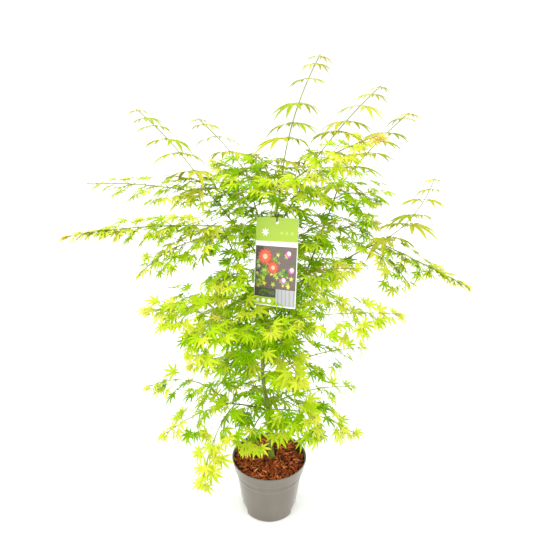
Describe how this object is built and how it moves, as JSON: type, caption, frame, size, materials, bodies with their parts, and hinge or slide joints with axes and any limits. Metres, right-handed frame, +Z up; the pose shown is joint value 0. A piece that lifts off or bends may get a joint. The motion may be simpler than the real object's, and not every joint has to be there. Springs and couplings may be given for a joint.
{
  "type": "potted japanese maple",
  "caption": "Young japanese maple with lime green foliage, in a round nursery pot topped with bark mulch, with a hanging plant label.",
  "frame": {"origin": "middle of the pot's flat underside", "axes": "+Z up along the pot's axis, +X to the right and -Y towards the front of the plant, the side that the label faces"},
  "size_m": [0.9041, 0.589, 1.1083],
  "materials": {
    "pot_plastic": "smooth moulded plastic, satin",
    "bark_mulch": "chopped red-brown bark, rough",
    "trunk_bark": "smooth green-brown bark",
    "young_bark": "thin young bark, satin",
    "foliage": "thin fresh leaves, soft sheen",
    "label_card": "glossy printed card",
    "label_cord": "thin dark elastic"
  },
  "bodies": {
    "root": {"pot": "pot_plastic", "potting_mix": "bark_mulch", "trunk": "trunk_bark", "bough_back": "young_bark", "bough_back_left": "young_bark", "bough_back_left_low": "young_bark", "bough_back_right": "young_bark", "bough_crown_right": "young_bark", "bough_front_left": "young_bark", "bough_front_right": "young_bark", "bough_left": "young_bark", "bough_left_upper": "young_bark", "bough_low_left": "young_bark", "bough_right": "young_bark", "bough_right_upper": "young_bark", "foliage_back_high": "foliage", "foliage_back_left": "foliage", "foliage_back_left_top": "foliage", "foliage_back_middle": "foliage", "foliage_back_reach": "foliage", "foliage_back_right": "foliage", "foliage_back_right_high": "foliage", "foliage_crown_left": "foliage", "foliage_crown_middle": "foliage", "foliage_crown_right": "foliage", "foliage_front_base": "foliage", "foliage_front_left": "foliage", "foliage_front_left_low": "foliage", "foliage_front_middle": "foliage", "foliage_front_right": "foliage", "foliage_front_right_high": "foliage", "foliage_front_yellow": "foliage", "foliage_leader": "foliage", "foliage_left_hanging": "foliage", "foliage_left_high": "foliage", "foliage_left_inner": "foliage", "foliage_left_long": "foliage", "foliage_left_lower": "foliage", "foliage_left_middle": "foliage", "foliage_low_back": "foliage", "foliage_low_back_left": "foliage", "foliage_low_left": "foliage", "foliage_low_left_front": "foliage", "foliage_low_left_high": "foliage", "foliage_low_right": "foliage", "foliage_low_right_back": "foliage", "foliage_low_right_front": "foliage", "foliage_right_centre": "foliage", "foliage_right_drooping": "foliage", "foliage_right_low": "foliage", "foliage_right_middle": "foliage", "foliage_right_rising": "foliage", "foliage_shoot_back_left": "foliage", "foliage_shoot_far_right": "foliage", "foliage_shoot_left": "foliage", "foliage_shoot_near": "foliage", "foliage_shoot_right": "foliage", "foliage_upper_middle": "foliage", "plant_label": "label_card", "label_loop": "label_cord"}
  },
  "joints": []
}
